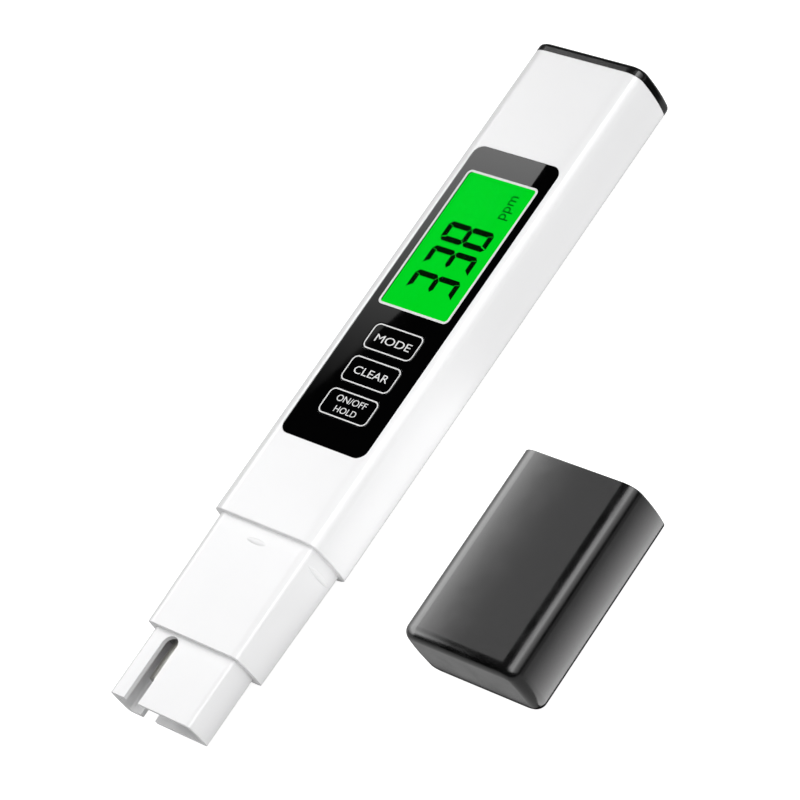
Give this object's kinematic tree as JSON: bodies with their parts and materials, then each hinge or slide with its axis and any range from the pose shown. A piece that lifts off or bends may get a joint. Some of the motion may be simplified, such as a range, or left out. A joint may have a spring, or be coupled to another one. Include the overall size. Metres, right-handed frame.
{
  "type": "digital water tester",
  "caption": "Pen-shaped digital water tester: white housing with a black panel, lit display and push keys, slotted probe end, pull-out battery drawer and a loose black cap.",
  "frame": {"origin": "middle of the housing's flat back, in the plane that the pen and its cap lie on", "axes": "+Y along the pen from the probe to the battery end, +Z out of the display, +X to the right of the display, towards the loose cap"},
  "size_m": [0.0849, 0.1544, 0.014],
  "materials": {
    "white_shell": "glossy moulded white",
    "panel_black": "high-gloss black printed sheet",
    "clear_lens": "clear polished acrylic",
    "display_green": "backlit green display behind glass",
    "diffuser": "milky diffusing acrylic",
    "white_inner": "matt moulded white",
    "adhesive": "translucent film",
    "silicone": "soft matt silicone rubber",
    "board_green": "solder-masked glass-epoxy",
    "chip_black": "moulded epoxy",
    "plated_steel": "bright nickel plate",
    "cell_steel": "satin stainless steel",
    "drawer_black": "semi-gloss moulded black",
    "cap_black": "satin-gloss moulded charcoal black",
    "probe_grey": "matt moulded grey",
    "titanium": "fine-drawn titanium",
    "lead_red": "extruded wire insulation",
    "lead_black": "extruded wire insulation",
    "plunger_white": "moulded white"
  },
  "bodies": {
    "pen": {"housing_shell": "white_shell", "probe_collar": "white_shell", "probe_shell": "white_shell", "front_panel": "panel_black", "screen_lens": "clear_lens", "lcd_glass": "display_green", "light_guide": "diffuser", "backlight_leds": "diffuser", "lcd_frame": "white_inner", "panel_adhesive": "adhesive", "zebra_strip": "silicone", "collar_seal": "silicone", "circuit_board": "board_green", "microcontroller": "chip_black", "amplifier_chip": "chip_black", "tactile_switches": "chip_black", "small_parts": "chip_black", "crystal": "plated_steel", "contact_spring_positive": "plated_steel", "contact_spring_negative": "plated_steel", "probe_base": "probe_grey", "electrode_left": "titanium", "electrode_right": "titanium", "temperature_sensor": "titanium", "electrode_leads": "lead_red", "sensor_leads": "lead_black"},
    "battery_drawer": {"battery_drawer": "drawer_black", "drawer_seal": "silicone", "button_cell_outer": "cell_steel", "button_cell_inner": "cell_steel", "cell_link": "plated_steel"},
    "mode_key": {"key_mode": "panel_black", "plunger_mode": "plunger_white"},
    "clear_key": {"key_clear": "panel_black", "plunger_clear": "plunger_white"},
    "power_key": {"key_power": "panel_black", "plunger_power": "plunger_white"},
    "cap": {"protective_cap": "cap_black"}
  },
  "joints": [
    {"name": "drawer_slide", "type": "slide", "parent": "pen", "child": "battery_drawer", "axis": [0, 1, 0], "range_m": [0, 0.0276]},
    {"name": "mode_press", "type": "slide", "parent": "pen", "child": "mode_key", "axis": [0, 0, -1], "range_m": [0, 0.00025], "stiffness_N_per_m": 800, "springref_m": -0.0006},
    {"name": "clear_press", "type": "slide", "parent": "pen", "child": "clear_key", "axis": [0, 0, -1], "range_m": [0, 0.00025], "stiffness_N_per_m": 800, "springref_m": -0.0006},
    {"name": "power_press", "type": "slide", "parent": "pen", "child": "power_key", "axis": [0, 0, -1], "range_m": [0, 0.00025], "stiffness_N_per_m": 800, "springref_m": -0.0006},
    {"name": "cap_pull", "type": "slide", "parent": "pen", "child": "cap", "axis": [0, -1, 0], "range_m": [0, 0.041]}
  ]
}
